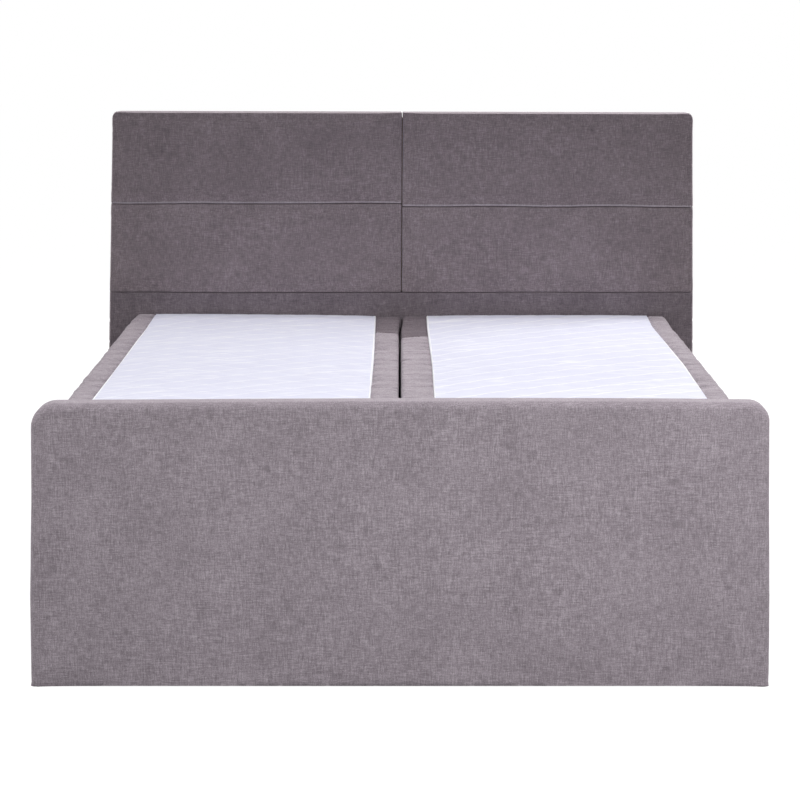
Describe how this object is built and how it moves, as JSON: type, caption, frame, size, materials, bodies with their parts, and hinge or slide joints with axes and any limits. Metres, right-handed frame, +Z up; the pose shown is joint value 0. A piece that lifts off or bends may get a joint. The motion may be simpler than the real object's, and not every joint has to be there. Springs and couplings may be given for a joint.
{
  "type": "divan bed",
  "caption": "Upholstered double divan bed with a panelled headboard, a tall footboard, divan bases and lift-off mattresses.",
  "frame": {"origin": "on the floor under the middle of the bed's bounding box", "axes": "+Z up, +Y from the footboard to the headboard, +X to the right seen from the foot end"},
  "size_m": [1.94, 2.221, 1.344],
  "materials": {
    "upholstery": "brushed woven upholstery with a short nap",
    "quilt": "white knitted quilt",
    "lining": "black spunbond lining",
    "foam": "open-cell foam",
    "springs": "springs in white spunbond pockets",
    "timber": "planed softwood",
    "board": "raw chipboard",
    "steel": "zinc plated",
    "plastic": "moulded black plastic"
  },
  "bodies": {
    "frame": {"footboard_cover": "upholstery", "footboard_board_front": "board", "footboard_board_back": "board", "footboard_post_left": "timber", "footboard_post_right": "timber", "footboard_rail_top": "timber", "footboard_rail_bottom": "timber", "footboard_glide_left": "plastic", "footboard_glide_right": "plastic", "headboard_pad_upper_left": "upholstery", "headboard_pad_upper_right": "upholstery", "headboard_pad_middle_left": "upholstery", "headboard_pad_middle_right": "upholstery", "headboard_pad_lower": "upholstery", "headboard_board_upper": "board", "headboard_board_middle": "board", "headboard_board_lower": "board", "headboard_post_left": "timber", "headboard_post_middle": "timber", "headboard_post_right": "timber", "headboard_glide_left": "plastic", "headboard_glide_right": "plastic", "headboard_back_cloth": "lining", "base_left_rail_left": "timber", "base_left_rail_right": "timber", "base_left_rail_foot": "timber", "base_left_rail_head": "timber", "base_left_deck": "timber", "base_left_springs": "springs", "base_left_cover": "upholstery", "base_left_dust_cover": "lining", "base_left_foot_foot_left": "plastic", "base_left_foot_head_left": "plastic", "base_left_foot_foot_right": "plastic", "base_left_foot_head_right": "plastic", "base_right_rail_left": "timber", "base_right_rail_right": "timber", "base_right_rail_foot": "timber", "base_right_rail_head": "timber", "base_right_deck": "timber", "base_right_springs": "springs", "base_right_cover": "upholstery", "base_right_dust_cover": "lining", "base_right_foot_foot_left": "plastic", "base_right_foot_head_left": "plastic", "base_right_foot_foot_right": "plastic", "base_right_foot_head_right": "plastic", "headboard_bracket_left": "steel", "headboard_bracket_right": "steel", "footboard_bracket_left": "steel", "footboard_bracket_right": "steel", "base_link_plate": "steel"},
    "mattress_left": {"mattress_left_case": "upholstery", "mattress_left_quilt": "quilt", "mattress_left_comfort_foam": "foam", "mattress_left_pocket_springs": "springs"},
    "mattress_right": {"mattress_right_case": "upholstery", "mattress_right_quilt": "quilt", "mattress_right_comfort_foam": "foam", "mattress_right_pocket_springs": "springs"}
  },
  "joints": [
    {"name": "mattress_left_lift", "type": "slide", "parent": "frame", "child": "mattress_left", "axis": [0, 0, 1], "range_m": [0, 0.4]},
    {"name": "mattress_right_lift", "type": "slide", "parent": "frame", "child": "mattress_right", "axis": [0, 0, 1], "range_m": [0, 0.4]}
  ]
}
